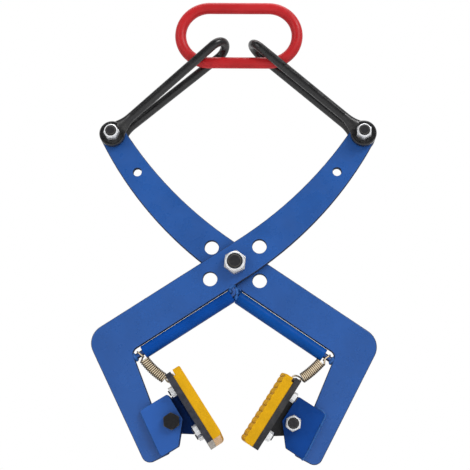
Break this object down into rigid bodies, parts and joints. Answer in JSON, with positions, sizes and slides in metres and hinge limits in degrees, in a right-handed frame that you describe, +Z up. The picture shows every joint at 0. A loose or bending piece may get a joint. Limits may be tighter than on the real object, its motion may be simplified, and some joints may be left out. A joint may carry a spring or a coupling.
{
  "type": "stone lifting clamp",
  "caption": "Scissor clamp that hangs from a crane hook: links pull crossed plate arms shut so sprung ribbed pads grip a stone slab or kerb.",
  "frame": {"origin": "The crane hook's seat: inside top of the lifting ring, on its middle plane.", "axes": "+Z is up along the hanging clamp, +X across the jaws to the right, +Y along the pivot bolt away from the nut's side."},
  "size_m": [0.3028, 0.0608, 0.5088],
  "materials": {
    "red_paint": "glossy red paint on steel bar",
    "black_forging": "black semi-gloss coating on forged steel",
    "arm_blue": "glossy royal blue paint on steel",
    "cheek_blue": "glossy royal blue paint on steel",
    "hose_blue": "glossy dark blue hose",
    "zinc": "bright zinc plating",
    "black_bolt": "black oxide steel",
    "dark_steel": "dark bare steel plate",
    "yellow_grip": "satin yellow elastomer",
    "spring_zinc": "yellow zinc plated spring wire"
  },
  "bodies": {
    "ring": {"lifting_ring": "red_paint"},
    "pivot": {"pivot_bolt": "black_bolt", "pivot_nut": "zinc", "pivot_washer": "zinc"},
    "front_arm": {"front_arm_plate": "arm_blue", "left_outer_cheek": "cheek_blue", "left_inner_cheek": "cheek_blue", "left_guard_rod": "arm_blue", "left_hose_sleeve": "hose_blue", "left_jaw_bolt": "black_bolt", "left_jaw_nut": "zinc", "left_spring": "spring_zinc"},
    "back_arm": {"back_arm_plate": "arm_blue", "right_outer_cheek": "cheek_blue", "right_inner_cheek": "cheek_blue", "right_guard_rod": "arm_blue", "right_hose_sleeve": "hose_blue", "right_jaw_bolt": "black_bolt", "right_jaw_nut": "zinc", "right_spring": "spring_zinc"},
    "right_link": {"right_link": "black_forging", "right_link_bolt": "black_bolt", "right_link_nut": "zinc"},
    "left_link": {"left_link": "black_forging", "left_link_bolt": "black_bolt", "left_link_nut": "zinc"},
    "left_pad": {"left_pad_lug": "dark_steel", "left_pad_carrier": "dark_steel", "left_pad_backing": "dark_steel", "left_pad_grip": "yellow_grip", "left_pad_nuts": "zinc"},
    "right_pad": {"right_pad_lug": "dark_steel", "right_pad_carrier": "dark_steel", "right_pad_backing": "dark_steel", "right_pad_grip": "yellow_grip", "right_pad_nuts": "zinc"}
  },
  "joints": [
    {"name": "pivot_lift", "type": "slide", "parent": "ring", "child": "pivot", "axis": [0, 0, 1], "range_m": [0, 0.0861]},
    {"name": "front_arm_hinge", "type": "hinge", "parent": "pivot", "child": "front_arm", "pos_m": [0, 0, -0.28625], "axis": [0, 1, 0], "range_deg": [0, 14.1]},
    {"name": "back_arm_hinge", "type": "hinge", "parent": "pivot", "child": "back_arm", "pos_m": [0, 0, -0.28625], "axis": [0, -1, 0], "range_deg": [0, 14.1]},
    {"name": "right_link_hinge", "type": "hinge", "parent": "front_arm", "child": "right_link", "pos_m": [0.1374, -0.0045, -0.14285], "axis": [0, -1, 0], "range_deg": [0, 35]},
    {"name": "left_link_hinge", "type": "hinge", "parent": "back_arm", "child": "left_link", "pos_m": [-0.1374, 0.0045, -0.14285], "axis": [0, 1, 0], "range_deg": [0, 35]},
    {"name": "left_pad_swivel", "type": "hinge", "parent": "front_arm", "child": "left_pad", "pos_m": [-0.06294, -0.0045, -0.45428], "axis": [0, 1, 0], "range_deg": [-3.6, 31.4], "stiffness_Nm_per_rad": 2.5, "springref_deg": -1.25, "deforming": ["left_spring"]},
    {"name": "right_pad_swivel", "type": "hinge", "parent": "back_arm", "child": "right_pad", "pos_m": [0.06294, 0.0045, -0.45428], "axis": [0, -1, 0], "range_deg": [-5, 30], "stiffness_Nm_per_rad": 2.5, "springref_deg": -1.25, "deforming": ["right_spring"]}
  ],
  "couplings": [
    {"joint": "front_arm_hinge", "follows": "pivot_lift", "rad_per_m": 2.8379},
    {"joint": "back_arm_hinge", "follows": "pivot_lift", "rad_per_m": 2.8379},
    {"joint": "right_link_hinge", "follows": "pivot_lift", "rad_per_m": 7.0543},
    {"joint": "left_link_hinge", "follows": "pivot_lift", "rad_per_m": 7.0543}
  ]
}
